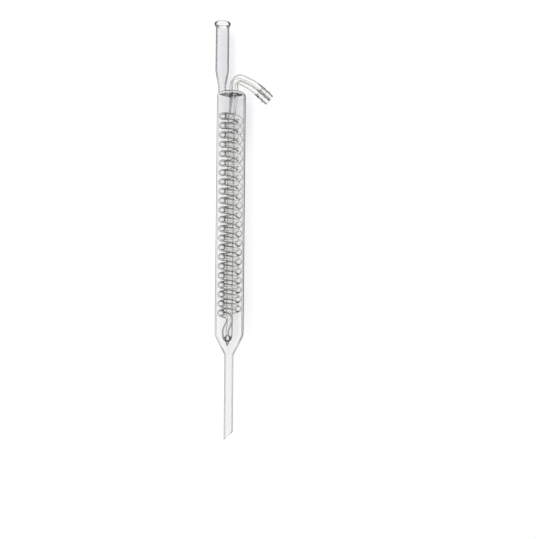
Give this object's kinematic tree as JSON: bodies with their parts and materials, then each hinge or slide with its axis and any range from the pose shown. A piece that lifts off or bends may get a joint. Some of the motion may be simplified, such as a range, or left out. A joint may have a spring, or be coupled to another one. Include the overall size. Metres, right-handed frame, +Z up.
{
  "type": "dimroth condenser",
  "caption": "Glass reflux condenser with a coiled cooling tube inside a jacket, a flared vent tube, a slant-cut drip stem and bent, ridged hose connectors.",
  "frame": {"origin": "on the jacket's axis, where the drip stem leaves the cone", "axes": "+Y along the jacket towards the vent tube's rim, +X towards the hose connectors, +Z up with the condenser lying on its side"},
  "size_m": [0.0709, 0.5, 0.0344],
  "materials": {
    "borosilicate_glass": "fire-polished, clear"
  },
  "bodies": {
    "root": {"outer_jacket": "borosilicate_glass", "vent_tube": "borosilicate_glass", "drip_stem": "borosilicate_glass", "cooling_coil": "borosilicate_glass", "central_tube": "borosilicate_glass", "inlet_connector": "borosilicate_glass", "outlet_connector": "borosilicate_glass"}
  },
  "joints": []
}
